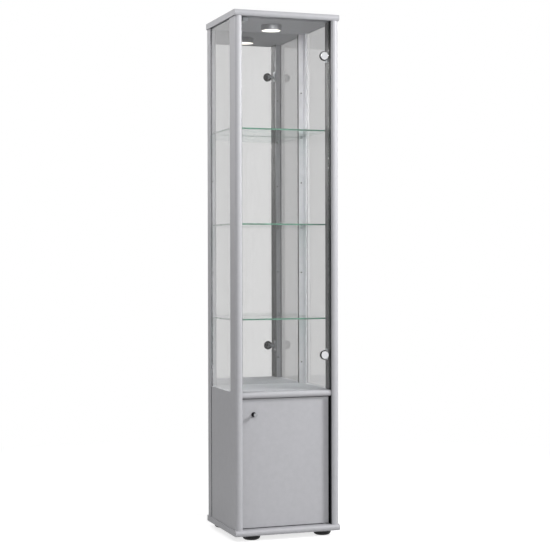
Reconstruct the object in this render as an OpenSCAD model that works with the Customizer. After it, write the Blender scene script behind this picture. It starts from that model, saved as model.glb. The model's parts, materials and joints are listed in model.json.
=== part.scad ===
// Tall glass display case: three boards, two front stiles and two L-section back posts
// carry glass sides, a mirror back, three glass shelves and a ceiling spot. A frameless
// glass door hangs on two cup hinges, and a pivot-hung door closes the base cupboard.
// X runs to the right, the front faces -Y, and Z runs up from the floor.

/* [Case] */
// Width of the top and bottom boards
case_w = 370; // [330:1:450]
// Depth of the top and bottom boards
case_d = 330; // [300:1:400]
// Height from the floor to the top
case_h = 1760; // [1700:1:1900]
// Clear height inside the base cupboard
cupboard_h = 435; // [380:1:500]

/* [Boards] */
// Thickness of the three boards
board_t = 20; // [18:0.5:24]
// Depth of the rounded nose on boards and stiles
nose_depth = 6; // [4:0.5:8]
// Step between a nose strip and the face of its board or stile
nose_step = 0.4; // [0.2:0.1:0.8]
// Overhang of the boards past the frame at each side
side_lip = 3; // [1:0.5:6]
// Overhang of the boards past the stiles at the front
front_lip = 5; // [2:0.5:10]
// Overhang of the boards past the posts at the back
back_lip = 4; // [3.8:0.1:8]
// Set-back of the middle board's nose behind the boards' front
mid_setback = 13; // [10:0.5:16]
// Depth of the grooves that hold glass in boards and base panels
seat_depth = 6; // [4:0.5:8]

/* [Stiles and posts] */
// Width of a front stile
stile_w = 24; // [22:0.5:30]
// Depth of a front stile
stile_d = 62; // [56:1:80]
// Width of a back post across the case
post_w = 30; // [29:0.5:36]
// Depth of a back post
post_d = 36; // [32:1:50]
// Thickness of a back post's side leg
post_side_t = 10; // [9.5:0.5:11]
// Thickness of a back post's back leg
post_back_t = 11; // [10.5:0.5:14]
// Depth of the grooves that hold glass in stiles and posts
groove_depth = 8; // [6:0.5:8.5]

/* [Glass and mirror] */
// Thickness of the side panes
pane_t = 4; // [3:0.5:4.5]
// Distance of a side pane behind the frame's outer face
pane_inset = 3; // [2.5:0.1:3.2]
// Thickness of the mirror and of the base back panel
mirror_t = 4; // [3:0.5:4.5]
// Depth of the mirror behind the face of the back posts
mirror_inset = 3; // [2:0.25:3.5]
// Thickness of the sheet behind the mirror
backing_t = 2.5; // [2:0.25:2.75]
// Thickness of the glass shelves
shelf_t = 5; // [4:0.5:8]
// Gap between a shelf and the post at each side
shelf_side_gap = 1; // [0.5:0.25:4]
// Gap between a shelf and the stile or post at its ends
shelf_end_gap = 2; // [1.8:0.1:4]

/* [Shelf pins] */
// Diameter of a shelf pin
pin_d = 5; // [4:0.5:5]
// Length of a pin inside its hole
pin_seat = 7; // [5:0.5:7.5]
// Length of a pin under the shelf
pin_reach = 11; // [8:0.5:16]
// Diameter of a pin's collar
pin_collar_d = 8; // [7:0.5:9]
// Thickness of a pin's collar
pin_collar_t = 1.5; // [1:0.1:1.6]
// Distance of the pin holes behind the frame's outer face
pin_inset = 18.5; // [17:0.5:19]
// Height of the lowest pin hole above the middle board
first_hole = 75; // [60:1:100]
// Spacing of the pin holes
hole_pitch = 160; // [150:1:165]
// Number of pin holes in each row
hole_count = 7; // [6:1:8]

/* [Base cupboard] */
// Thickness of the base side panels
base_panel_t = 16; // [14:0.5:18]
// Thickness of the base door
base_door_t = 16; // [14:0.5:18]
// Set-back of the base door's face behind the boards' front
base_door_setback = 30; // [28:0.5:32]
// Diameter of the wooden dowels
dowel_d = 6; // [5:0.5:6.5]
// Length of a dowel in each piece
dowel_half = 8; // [5:0.5:10]
// Distance of the upper and lower dowels from the ends of the base panels
dowel_end = 80; // [40:1:120]
// Distance of the middle board's dowels from the stiles and posts
dowel_side = 40; // [25:1:80]

/* [Doors] */
// Gap round each door
door_gap = 4; // [3.6:0.1:5]
// Gap above and below each door
door_end_gap = 3; // [2.5:0.1:5]
// Distance of the turning axes from the doors' hinge edge
axis_inset = 12; // [11:0.5:12]
// Thickness of the glass door
glass_door_t = 4; // [3.5:0.5:4]
// Set-back of the glass door's face behind the boards' front
glass_door_setback = 22; // [21:0.5:24]
// Opening angle of the glass door, as drawn
glass_door_angle = 0; // [0:1:90]
// Opening angle of the base door, as drawn
base_door_angle = 0; // [0:1:90]

/* [Glass door hinges] */
// Distance of each hinge centre from the end of the glass door
hinge_end = 115; // [80:1:160]
// Distance of the hinge centre from the turning axis
hinge_offset = 4; // [3:0.5:4]
// Diameter of the hole in the glass
hinge_hole_d = 26; // [25:0.5:26]
// Diameter of the hinge cap
hinge_cap_d = 28; // [27.5:0.5:28]
// Thickness of the hinge cap
hinge_cap_t = 4; // [3:0.25:5]
// Radius of the hinge cap's front edge
hinge_cap_edge_r = 1.5; // [0.5:0.25:2.5]
// Diameter of the cup's flange behind the glass
hinge_flange_d = 32; // [31:0.5:32]
// Thickness of the cup's flange
hinge_flange_t = 2; // [1.5:0.1:2]
// Distance of the turning axis behind the glass
hinge_axis_back = 4; // [4:0.25:4.5]
// Diameter of the hinge pin
hinge_pin_d = 3; // [2.5:0.1:3.5]
// Thickness of the hinge arm's sheet
arm_t = 2.4; // [2:0.1:2.5]
// Height of the hinge arm
arm_h = 9; // [8:0.5:14]
// Height of the arm's eye between the cup's ears
eye_h = 15; // [14.5:0.5:17]
// Thickness of each ear of the cup
ear_t = 4; // [3:0.25:4.5]
// Height of the hinge's mounting plate
plate_h = 36; // [30:1:50]
// Depth of the hinge's mounting plate
plate_d = 21; // [18:0.5:22]

/* [Base door pivots] */
// Diameter of the pivot pins
pivot_d = 5; // [4:0.5:6]
// Length of a pivot pin inside the door
pivot_seat = 12; // [8:0.5:20]
// Length of a pivot pin inside its bush
pivot_reach = 8; // [6:0.5:10]
// Outer diameter of a pivot bush
bush_d = 8; // [7.5:0.5:9]
// Diameter of the bush flange and the pin collar
bush_flange_d = 11; // [10:0.5:13]
// Thickness of the bush flange
bush_flange_t = 1; // [0.8:0.1:1.2]

/* [Knob] */
// Diameter of the knob's foot
knob_d = 17; // [14:0.5:24]
// Diameter of the knob's head
knob_head_d = 13; // [10:0.5:16]
// Diameter of the knob's waist
knob_waist_d = 9; // [7:0.5:9.5]
// Distance of the knob's waist from the door
knob_waist_z = 11.5; // [9:0.5:13]
// Length of the knob
knob_len = 22; // [18:0.5:28]
// Distance of the knob from the door's free edge
knob_inset = 41; // [30:1:60]
// Distance of the knob below the door's top edge
knob_drop = 52; // [30:1:90]
// Diameter of the knob screw
knob_screw_d = 4; // [3:0.5:5]

/* [Catches] */
// Diameter of the touch catch's plunger
plunger_d = 10; // [8:0.5:10]
// Travel of the plunger when the glass door is pushed
plunger_travel = 3; // [2:0.5:4]
// Width and height of the touch catch's barrel
catch_barrel = 14; // [13.5:0.5:15]
// Length of the touch catch's barrel
catch_len = 42; // [38:1:60]
// Distance of the touch catch from the stile
catch_inset = 18; // [16:0.5:30]
// Length of the touch catch's plunger
plunger_len = 26; // [20:1:32]
// Thickness of the steel plates on the doors
strike_t = 0.8; // [0.5:0.1:1]
// Length of the magnetic catch in the base
magnet_len = 40; // [30:1:50]
// Depth of the magnetic catch in the base
magnet_d = 14; // [12:0.5:18]
// Height of the magnetic catch in the base
magnet_h = 12; // [10:0.5:16]
// Distance of the magnetic catch from the base door's free edge
magnet_inset = 26; // [10:1:60]

/* [Spot] */
// Diameter of the ceiling spot
lamp_d = 70; // [60:1:90]
// Height of the ceiling spot
lamp_h = 18; // [17:0.5:25]
// Wall of the spot's housing
lamp_wall = 1.5; // [1:0.25:2]
// Distance of the spot from the middle of the case towards the back
lamp_y = 5; // [-20:1:30]
// Thickness of the spot's lens
lens_t = 3; // [2:0.25:3.5]
// Thickness of the spot's mounting plate
lamp_base_t = 4; // [3:0.25:4.5]
// Diameter of the lead's way through the top board
lead_d = 5; // [4:0.5:6]
// Outer diameter of the grommet
grommet_d = 8; // [7.5:0.5:9]

/* [Feet] */
// Diameter of a foot
foot_d = 60; // [50:1:64]
// Height of a foot
foot_h = 20; // [16:1:40]
// Radius of a foot's bottom edge
foot_edge_r = 11; // [4:0.5:12]
// Distance of the front feet's centres from the board's front and sides
front_foot_inset = 58; // [52:1:80]
// Offset of the pair of front feet to the right
front_foot_shift = 14; // [0:1:16]
// Distance of the back feet's centres from the board's sides
back_foot_side = 47; // [44:1:80]
// Distance of the back feet's centres from the board's back
back_foot_inset = 32; // [32:1:80]

/* [Screws] */
// Shank diameter of the frame screws
screw_d = 4; // [3.5:0.5:4.5]
// Head diameter of the frame screws
screw_head_d = 8; // [7:0.5:8]
// Length of the frame screws
screw_len = 45; // [40:1:60]
// Distance of the stiles' screws behind the stiles' front
stile_screw_inset = 22; // [18:1:30]
// Head height of the foot and knob screws
screw_head_h = 2.5; // [2:0.1:3]
// Thickness of the cover caps over the top screws
cap_t = 2; // [1:0.25:3]
// Diameter of the cover caps
cap_d = 10; // [9:0.5:12]
// Shank diameter of the small screws
small_screw_d = 3; // [2.5:0.1:3]
// Head diameter of the small screws
small_head_d = 6; // [5:0.5:6.5]
// Head height of the small screws
small_head_h = 1; // [0.8:0.1:1.1]
// Length of the small screws
small_screw_len = 10; // [8:0.5:10]

/* [Clearances] */
// Side clearance of glass in its grooves
glass_play = 0.2; // [0.1:0.05:0.4]
// Radial clearance of turning and sliding fits
run_play = 0.05; // [0.02:0.01:0.1]
// Gap between a magnet and its steel plate
magnet_gap = 0.3; // [0.3:0.1:0.6]
// Clearance at the ends of glass and dowels
end_play = 1; // [0.5:0.1:1.5]

/* [Hidden] */
$fn = 64;

silver = "#BDBDC2";
side_silver = "#B1B1B7";
glass_tint = [0.80, 0.92, 0.88, 0.45];
mirror_tint = "#D2D4D4";
chrome = "#D8DADD";
nickel = "#A6A7AA";
steel = "#A9ACB0";
black = "#1C1C1E";
wood = "#C8A673";

// Heights
floor_z = foot_h + board_t;
mid_z = floor_z + cupboard_h;
deck_z = mid_z + board_t;
ceiling_z = case_h - board_t;

// Plan: outer faces and the frame's own faces, on the right-hand side
front_y = -case_d / 2;
back_y = case_d / 2;
frame_x = case_w / 2 - side_lip;
stile_in_x = frame_x - stile_w;
stile_x = frame_x - stile_w / 2;
stile_front_y = front_y + front_lip;
stile_rear_y = stile_front_y + stile_d;
post_back_y = back_y - back_lip;
post_front_y = post_back_y - post_d;
post_face_y = post_back_y - post_back_t;
post_in_x = frame_x - post_w;
post_side_x = frame_x - post_side_t;
base_in_x = frame_x - base_panel_t;
base_mid_x = frame_x - base_panel_t / 2;
post_leg_x = frame_x - post_side_t / 2;

// Glass in its grooves
pane_out_x = frame_x - pane_inset;
pane_in_x = pane_out_x - pane_t;
pane_bottom_z = deck_z - seat_depth;
pane_top_z = ceiling_z + seat_depth - end_play;
pane_front_y = stile_rear_y - groove_depth + end_play;
pane_rear_y = post_front_y + groove_depth - end_play;
mirror_y = post_face_y + mirror_inset;
mirror_x = post_in_x + groove_depth - end_play;

// Shelf pins
pin_x = frame_x - pin_inset;
pin_chamfer = 0.5;
shelf_holes = [1, 3, 5];
shelf_half_w = post_side_x - shelf_side_gap;
function hole_z(i) = deck_z + first_hole + i * hole_pitch;
function shelf_z(i) = hole_z(shelf_holes[i]) + pin_d / 2;

// Doors and their turning axes
door_edge_x = stile_in_x - door_gap;
axis_x = door_edge_x - axis_inset;
glass_front_y = front_y + glass_door_setback;
glass_back_y = glass_front_y + glass_door_t;
glass_axis_y = glass_back_y + hinge_axis_back;
glass_bottom_z = deck_z + door_end_gap;
glass_top_z = ceiling_z - door_end_gap;
base_door_y = front_y + base_door_setback;
base_door_back_y = base_door_y + base_door_t;
base_axis_y = base_door_y + base_door_t / 2;
base_door_bottom_z = floor_z + door_end_gap;
base_door_top_z = mid_z - door_end_gap;

// Hinges: the arm crosses behind the sweep of the glass door's hinge edge
hinge_x = axis_x - hinge_offset;
upper_hinge_z = glass_top_z - hinge_end;
lower_hinge_z = glass_bottom_z + hinge_end;
eye_wall = 1.5;
eye_r = hinge_pin_d / 2 + eye_wall;
ear_gap = 0.5;
ear_z = eye_h / 2 + ear_gap;
ear_half_w = 4;
cup_wall = 2.8;
cup_skin = 1.5;
sweep_clear = 2;
arm_y = glass_axis_y + axis_inset + sweep_clear;
plate_screw_end = 7;
plate_screw_z = plate_h / 2 - plate_screw_end;
plate_screw_depth = 13;
plate_screw_y = arm_y + plate_screw_depth;

// Catches
catch_x = -stile_in_x + catch_inset;
plunger_proud = 1;
plunger_front_y = glass_back_y + strike_t + magnet_gap;
catch_front_y = plunger_front_y + plunger_travel + plunger_proud;
catch_axis_z = ceiling_z - catch_barrel / 2;
strike_half_w = 8;
strike_margin = 0.5;
catch_ear = 9;
catch_ear_d = 12;
catch_ear_t = 2;
catch_screw_y = catch_front_y + catch_len - catch_ear_d;
magnet_ear = 12;
magnet_ear_t = 3;
magnet_x = -door_edge_x + magnet_inset;
magnet_y = base_door_back_y + strike_t + magnet_gap;

// Knob
knob_x = -door_edge_x + knob_inset;
knob_z = base_door_top_z - knob_drop;
knob_foot_t = 2;
knob_edge = 1;
knob_thread = 10;

// Screws
stile_screw_y = stile_front_y + stile_screw_inset;
post_screw_y = post_back_y - post_back_t / 2;
backing_inset = 6;
backing_x = frame_x - backing_inset;
backing_screw_side = 5;
backing_screw_end = 20;
backing_screw_count = 6;
small_bore_d = small_screw_d + 2 * run_play;
foot_web = 8;
foot_screw_len = 18;
foot_recess_h = foot_h - foot_web;
foot_recess_r = screw_head_d / 2 + 1;
grommet_flange_t = 1.5;
grommet_lip = 2.5;
grommet_flange_d = grommet_d + 2 * grommet_lip;

// Spot
lamp_lip = 1.5;
lamp_lip_t = 1.2;
lamp_edge = 1.5;
lamp_screw_side = 11;
lamp_screw_x = lamp_d / 2 - lamp_screw_side;
socket_x = -20;
socket_size = [14, 12, 7];
bulb_r = 3;
bulb_len = 16;

// A box given by its two opposite corners
module block(low, high) {
    translate(low) cube(high - low);
}

// Draws its children on the right for s = 1, and mirrored to the left for s = -1
module on_side(s) {
    if (s < 0) mirror([1, 0, 0]) children();
    else children();
}

// A flat section with a rounded nose strip at x = 0, centred on y. The strip is a little
// thinner than the board, so a fine step shows where the two meet.
module nosed_section(depth, thick) {
    half = thick / 2 - nose_step;
    nose_r = (half * half + nose_depth * nose_depth) / (2 * nose_depth);
    union() {
        translate([nose_depth, -thick / 2]) square([depth - nose_depth, thick]);
        intersection() {
            translate([0, -thick / 2]) square([nose_depth + nose_step / 2, thick]);
            translate([nose_r, 0]) circle(r = nose_r);
        }
    }
}

// The half section of a disc that stands on y = 0, with its upper edge rounded
module disc_section(r, thick, edge_r) {
    union() {
        square([r, thick - edge_r]);
        square([r - edge_r, thick]);
        translate([r - edge_r, thick - edge_r]) intersection() {
            circle(r = edge_r);
            square(edge_r);
        }
    }
}

// A board with its rounded nose towards the front
module nosed_board(width, y0, y1, z0) {
    translate([-width / 2, y0, z0 + board_t / 2])
        rotate([90, 0, 90])
            linear_extrude(height = width) nosed_section(y1 - y0, board_t);
}

// A countersunk screw with its head's top at the origin, pointing down
module countersunk_screw(d, head_d, length) {
    rotate_extrude() polygon([
        [0, 0], [head_d / 2, 0], [d / 2, (d - head_d) / 2], [d / 2, -length + d / 2], [0, -length]
    ]);
}

// The countersunk hole for such a screw, open above the origin
module countersunk_bore(d, head_d, length) {
    r = d / 2 + run_play;
    head_r = head_d / 2 + run_play;
    rotate_extrude() polygon([
        [0, 1], [head_r, 1], [head_r, 0], [r, r - head_r],
        [r, -length - end_play], [0, -length - end_play]
    ]);
}

// A pan-head screw with its head standing on the origin's plane, pointing down
module pan_screw(d, head_d, head_h, length) {
    rotate_extrude() polygon([
        [0, head_h], [head_d / 2 - head_h / 2, head_h], [head_d / 2, head_h / 2],
        [head_d / 2, 0], [d / 2, 0], [d / 2, -length + d / 2], [0, -length]
    ]);
}

// The small screw that holds the fittings
module small_screw() {
    pan_screw(small_screw_d, small_head_d, small_head_h, small_screw_len);
}

// A bore along +Y
module bore_y(d, length) {
    rotate([-90, 0, 0]) cylinder(h = length, d = d);
}

// A bore along +X
module bore_x(d, length) {
    rotate([0, 90, 0]) cylinder(h = length, d = d);
}

// The four places of the frame screws, on stiles and posts
module at_frame_screws() {
    for (s = [-1, 1]) {
        translate([s * stile_x, stile_screw_y, 0]) children();
        translate([s * post_leg_x, post_screw_y, 0]) children();
    }
}

// Dowel places: they join the base panel to the stile and the post, and the middle board
module at_base_dowels() {
    for (z = [floor_z + dowel_end, mid_z - dowel_end]) {
        translate([base_mid_x, stile_rear_y, z]) rotate([90, 0, 0]) children();
        translate([post_leg_x, post_front_y, z]) rotate([90, 0, 0]) children();
    }
    for (y = [stile_rear_y + dowel_side, post_front_y - dowel_side])
        translate([base_in_x, y, mid_z + (board_t - seat_depth) / 2]) rotate([0, 90, 0]) children();
}

module dowel_bores() {
    at_base_dowels()
        cylinder(h = 2 * dowel_half + end_play, d = dowel_d + 2 * run_play, center = true);
}

// The place of a foot under the bottom board: sx for left or right, sy for front or back
module at_foot(sx, sy) {
    x = case_w / 2 - (sy < 0 ? front_foot_inset : back_foot_side);
    y = sy < 0 ? front_y + front_foot_inset : back_y - back_foot_inset;
    shift = sy < 0 ? front_foot_shift : 0;
    translate([sx * x + shift, y, 0]) children();
}

module at_feet() {
    for (sx = [-1, 1]) for (sy = [-1, 1]) at_foot(sx, sy) children();
}

module top_board() {
    color(silver) difference() {
        nosed_board(case_w, front_y, back_y, ceiling_z);
        for (s = [-1, 1]) on_side(s)
            block([pane_in_x - glass_play, pane_front_y - end_play, ceiling_z - 1],
                  [pane_out_x + glass_play, pane_rear_y + end_play, ceiling_z + seat_depth]);
        block([-mirror_x - end_play, mirror_y - glass_play, ceiling_z - 1],
              [mirror_x + end_play, mirror_y + mirror_t + glass_play, ceiling_z + seat_depth]);
        at_frame_screws() {
            translate([0, 0, case_h - cap_t]) countersunk_bore(screw_d, screw_head_d, screw_len);
            translate([0, 0, case_h - cap_t]) cylinder(h = cap_t + 1, d = cap_d + 2 * run_play);
        }
        translate([0, lamp_y, ceiling_z - 1]) cylinder(h = board_t + 2, d = grommet_d + 2 * run_play);
        translate([0, lamp_y, case_h - grommet_flange_t])
            cylinder(h = grommet_flange_t + 1, d = grommet_flange_d + 2 * run_play);
        lamp_screw_bores();
        touch_catch_screw_bores();
    }
}

module mid_board() {
    mid_front_y = front_y + mid_setback;
    color(silver) difference() {
        union() {
            nosed_board(2 * stile_in_x, mid_front_y, stile_rear_y + 1, mid_z);
            block([-base_in_x, stile_rear_y, mid_z], [base_in_x, post_front_y + 1, deck_z]);
            block([-post_side_x, post_front_y, mid_z], [post_side_x, post_face_y, deck_z]);
            block([-post_in_x, post_face_y - 1, mid_z], [post_in_x, mirror_y, deck_z]);
        }
        for (s = [-1, 1]) on_side(s) dowel_bores();
        translate([axis_x, base_axis_y, mid_z - 1])
            cylinder(h = pivot_reach + 2, d = bush_d);
        magnet_screw_bores();
    }
}

module bottom_board() {
    color(silver) difference() {
        nosed_board(case_w, front_y, back_y, foot_h);
        at_frame_screws() translate([0, 0, foot_h]) mirror([0, 0, 1])
            countersunk_bore(screw_d, screw_head_d, screw_len);
        at_feet() translate([0, 0, foot_h - 1])
            cylinder(h = foot_screw_len - foot_web + end_play + 1, d = screw_d + 2 * run_play);
        translate([axis_x, base_axis_y, floor_z - pivot_reach - 1])
            cylinder(h = pivot_reach + 2, d = bush_d);
    }
}

module stile(s) {
    color(silver) on_side(s) difference() {
        translate([stile_x, stile_front_y, floor_z]) rotate([0, 0, 90])
            linear_extrude(height = ceiling_z - floor_z) nosed_section(stile_d, stile_w);
        block([pane_in_x - glass_play, stile_rear_y - groove_depth, pane_bottom_z],
              [pane_out_x + glass_play, stile_rear_y + 1, ceiling_z + 1]);
        for (i = [0 : hole_count - 1])
            translate([pin_x, stile_rear_y - pin_seat - end_play, hole_z(i)])
                bore_y(pin_d + 2 * run_play, pin_seat + end_play + 1);
        dowel_bores();
        frame_screw_bores();
        if (s > 0) for (z = [lower_hinge_z, upper_hinge_z]) for (k = [-1, 1])
            translate([stile_in_x - 1, plate_screw_y, z + k * plate_screw_z])
                bore_x(small_bore_d, small_screw_len + 2);
    }
}

module front_left_stile() { stile(-1); }
module front_right_stile() { stile(1); }

module frame_screw_bores() {
    at_frame_screws() {
        translate([0, 0, case_h - cap_t]) countersunk_bore(screw_d, screw_head_d, screw_len);
        translate([0, 0, foot_h]) mirror([0, 0, 1]) countersunk_bore(screw_d, screw_head_d, screw_len);
    }
}

module backing_screw_places() {
    low_z = mid_z + backing_screw_end;
    step = (ceiling_z - backing_screw_end - low_z) / (backing_screw_count - 1);
    for (i = [0 : backing_screw_count - 1])
        translate([backing_x - backing_screw_side, post_back_y, low_z + i * step])
            rotate([-90, 0, 0]) children();
}

module post(s) {
    color(silver) on_side(s) difference() {
        union() {
            block([post_side_x, post_front_y, floor_z], [frame_x, post_back_y, ceiling_z]);
            block([post_in_x, post_face_y, floor_z], [frame_x, post_back_y, ceiling_z]);
        }
        block([pane_in_x - glass_play, post_front_y - 1, pane_bottom_z],
              [pane_out_x + glass_play, post_front_y + groove_depth, ceiling_z + 1]);
        block([post_in_x - 1, mirror_y - glass_play, floor_z - 1],
              [post_in_x + groove_depth, mirror_y + mirror_t + glass_play, ceiling_z + 1]);
        for (i = [0 : hole_count - 1])
            translate([pin_x, post_face_y - 1, hole_z(i)])
                bore_y(pin_d + 2 * run_play, pin_seat + end_play + 1);
        dowel_bores();
        frame_screw_bores();
        backing_screw_places() translate([0, 0, -small_screw_len + backing_t])
            cylinder(h = small_screw_len + 1, d = small_bore_d);
    }
}

module back_left_post() { post(-1); }
module back_right_post() { post(1); }

module side_pane(s) {
    color(glass_tint) on_side(s)
        block([pane_in_x, pane_front_y, pane_bottom_z], [pane_out_x, pane_rear_y, pane_top_z]);
}

module left_glass_pane() { side_pane(-1); }
module right_glass_pane() { side_pane(1); }

module back_mirror() {
    color(mirror_tint)
        block([-mirror_x, mirror_y, deck_z], [mirror_x, mirror_y + mirror_t, pane_top_z]);
}

module mirror_backing() {
    color("#8A6B4A") difference() {
        block([-backing_x, post_back_y, mid_z], [backing_x, post_back_y + backing_t, ceiling_z]);
        for (s = [-1, 1]) on_side(s) backing_screw_places()
            translate([0, 0, -1]) cylinder(h = backing_t + 2, d = small_bore_d);
    }
}

module backing_screws() {
    color(steel) for (s = [-1, 1]) on_side(s) backing_screw_places()
        translate([0, 0, backing_t]) small_screw();
}

module base_side_panel(s) {
    color(side_silver) on_side(s) difference() {
        block([base_in_x, stile_rear_y, floor_z], [frame_x, post_front_y, deck_z]);
        block([pane_in_x - glass_play, stile_rear_y - 1, pane_bottom_z],
              [pane_out_x + glass_play, post_front_y + 1, deck_z + 1]);
        dowel_bores();
    }
}

module base_left_panel() { base_side_panel(-1); }
module base_right_panel() { base_side_panel(1); }

module base_back_panel() {
    color(side_silver)
        block([-mirror_x, mirror_y, floor_z], [mirror_x, mirror_y + mirror_t, deck_z]);
}

module wood_dowels() {
    color(wood) for (s = [-1, 1]) on_side(s)
        at_base_dowels() cylinder(h = 2 * dowel_half, d = dowel_d, center = true);
}

module glass_shelf(i) {
    color(glass_tint)
        block([-shelf_half_w, stile_rear_y + shelf_end_gap, shelf_z(i)],
              [shelf_half_w, post_face_y - shelf_end_gap, shelf_z(i) + shelf_t]);
}

module bottom_glass_shelf() { glass_shelf(0); }
module middle_glass_shelf() { glass_shelf(1); }
module top_glass_shelf() { glass_shelf(2); }

// A shelf pin on the plane of its hole's mouth, reaching along +Z
module shelf_pin() {
    r = pin_d / 2;
    rotate_extrude() polygon([
        [0, -pin_seat], [r - pin_chamfer, -pin_seat], [r, -pin_seat + pin_chamfer], [r, 0],
        [pin_collar_d / 2, 0], [pin_collar_d / 2, pin_collar_t], [r, pin_collar_t],
        [r, pin_reach - pin_chamfer], [r - pin_chamfer, pin_reach], [0, pin_reach]
    ]);
}

module shelf_pins(i) {
    z = hole_z(shelf_holes[i]);
    color(chrome) for (s = [-1, 1]) {
        translate([s * pin_x, stile_rear_y, z]) rotate([-90, 0, 0]) shelf_pin();
        translate([s * pin_x, post_face_y, z]) rotate([90, 0, 0]) shelf_pin();
    }
}

module bottom_shelf_pins() { shelf_pins(0); }
module middle_shelf_pins() { shelf_pins(1); }
module top_shelf_pins() { shelf_pins(2); }

module lamp_screw_places() {
    for (k = [-1, 1]) translate([k * lamp_screw_x, lamp_y, ceiling_z - lamp_base_t])
        rotate([180, 0, 0]) children();
}

module lamp_screw_bores() {
    lamp_screw_places() translate([0, 0, -small_screw_len - 1])
        cylinder(h = small_screw_len + 2, d = small_bore_d);
}

module lamp_base() {
    base_r = lamp_d / 2 - lamp_wall - run_play;
    color("#E4E4E2") difference() {
        translate([0, lamp_y, ceiling_z - lamp_base_t]) cylinder(h = lamp_base_t, r = base_r);
        translate([0, lamp_y, ceiling_z - lamp_base_t - 1])
            cylinder(h = lamp_base_t + 2, d = grommet_d);
        lamp_screw_bores();
    }
}

module lamp_housing() {
    r = lamp_d / 2;
    wall_r = r - lamp_wall;
    lip_r = wall_r - lamp_lip;
    color(nickel) translate([0, lamp_y, ceiling_z]) rotate_extrude() polygon([
        [wall_r, 0], [r, 0], [r, lamp_edge - lamp_h], [r - lamp_edge, -lamp_h], [lip_r, -lamp_h],
        [lip_r, lamp_lip_t - lamp_h], [wall_r, lamp_lip_t - lamp_h]
    ]);
}

module lamp_lens() {
    lens_r = lamp_d / 2 - lamp_wall - run_play;
    color("#F6F3E6") translate([0, lamp_y, ceiling_z - lamp_h + lamp_lip_t])
        cylinder(h = lens_t, r = lens_r);
}

module lamp_socket() {
    base_z = ceiling_z - lamp_base_t;
    color("#ECE9E0") translate([socket_x, lamp_y - socket_size.y / 2, base_z - socket_size.z])
        cube(socket_size);
}

module lamp_bulb() {
    bulb_z = ceiling_z - lamp_base_t - socket_size.z / 2;
    color([0.95, 0.93, 0.85, 0.6]) translate([socket_x + socket_size.x, lamp_y, bulb_z]) {
        bore_x(2 * bulb_r, bulb_len);
        translate([bulb_len, 0, 0]) sphere(r = bulb_r);
    }
}

module lamp_screws() {
    color(steel) lamp_screw_places() small_screw();
}

module lead_grommet() {
    color(black) difference() {
        union() {
            translate([0, lamp_y, ceiling_z]) cylinder(h = board_t, d = grommet_d);
            translate([0, lamp_y, case_h - grommet_flange_t])
                cylinder(h = grommet_flange_t, d = grommet_flange_d);
        }
        translate([0, lamp_y, ceiling_z - 1]) cylinder(h = board_t + 2, d = lead_d);
    }
}

// A round foot with a bowed side, turned from its top, and bored from below for its screw
module foot(sx, sy) {
    color(black) at_foot(sx, sy) translate([0, 0, foot_h]) rotate([180, 0, 0])
        rotate_extrude() difference() {
            disc_section(foot_d / 2, foot_h, foot_edge_r);
            translate([-1, foot_web]) square([foot_recess_r + 1, foot_recess_h + 1]);
            translate([-1, -1]) square([screw_d / 2 + run_play + 1, foot_h + 2]);
        }
}

module front_left_foot() { foot(-1, -1); }
module front_right_foot() { foot(1, -1); }
module back_left_foot() { foot(-1, 1); }
module back_right_foot() { foot(1, 1); }

module foot_screws() {
    color(steel) at_feet() translate([0, 0, foot_recess_h]) mirror([0, 0, 1])
        pan_screw(screw_d, screw_head_d, screw_head_h, foot_screw_len);
}

module top_frame_screws() {
    color(steel) at_frame_screws() translate([0, 0, case_h - cap_t])
        countersunk_screw(screw_d, screw_head_d, screw_len);
}

module bottom_frame_screws() {
    color(steel) at_frame_screws() translate([0, 0, foot_h]) mirror([0, 0, 1])
        countersunk_screw(screw_d, screw_head_d, screw_len);
}

module screw_caps() {
    color(silver) at_frame_screws() translate([0, 0, case_h - cap_t]) cylinder(h = cap_t, d = cap_d);
}

// Turns the glass door's pieces about the pins of its hinges
module on_glass_door() {
    translate([axis_x, glass_axis_y, 0]) rotate([0, 0, glass_door_angle])
        translate([-axis_x, -glass_axis_y, 0]) children();
}

module glass_door_pane() {
    color(glass_tint) on_glass_door() difference() {
        block([-door_edge_x, glass_front_y, glass_bottom_z], [door_edge_x, glass_back_y, glass_top_z]);
        for (z = [lower_hinge_z, upper_hinge_z])
            translate([hinge_x, glass_front_y - 1, z]) bore_y(hinge_hole_d, glass_door_t + 2);
    }
}

// A flat round cap on the front of the glass
module hinge_cap(z) {
    color(chrome) on_glass_door() translate([hinge_x, glass_front_y, z]) rotate([90, 0, 0])
        rotate_extrude() disc_section(hinge_cap_d / 2, hinge_cap_t, hinge_cap_edge_r);
}

module upper_hinge_cap() { hinge_cap(upper_hinge_z); }
module lower_hinge_cap() { hinge_cap(lower_hinge_z); }

// The cup fills the hole in the glass and carries the pin between its ears
module hinge_cup(z) {
    hub_r = hinge_hole_d / 2 - 2 * run_play;
    color(black) on_glass_door() difference() {
        union() {
            translate([hinge_x, glass_front_y, z]) bore_y(2 * hub_r, glass_door_t + 1);
            translate([hinge_x, glass_back_y, z]) bore_y(hinge_flange_d, hinge_flange_t);
            for (low_z = [z - ear_z - ear_t, z + ear_z])
                block([axis_x - ear_half_w, glass_back_y, low_z],
                      [axis_x + ear_half_w, glass_axis_y + ear_half_w, low_z + ear_t]);
        }
        intersection() {
            translate([hinge_x, glass_front_y + cup_skin, z])
                bore_y(2 * (hub_r - cup_wall), glass_door_t + hinge_flange_t);
            block([hinge_x - hub_r, glass_front_y, z - ear_z],
                  [hinge_x + hub_r, glass_axis_y, z + ear_z]);
        }
        translate([axis_x, glass_axis_y, z - ear_z - ear_t - 1])
            cylinder(h = 2 * (ear_z + ear_t + 1), d = hinge_pin_d);
    }
}

module upper_hinge_cup() { hinge_cup(upper_hinge_z); }
module lower_hinge_cup() { hinge_cup(lower_hinge_z); }

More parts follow.
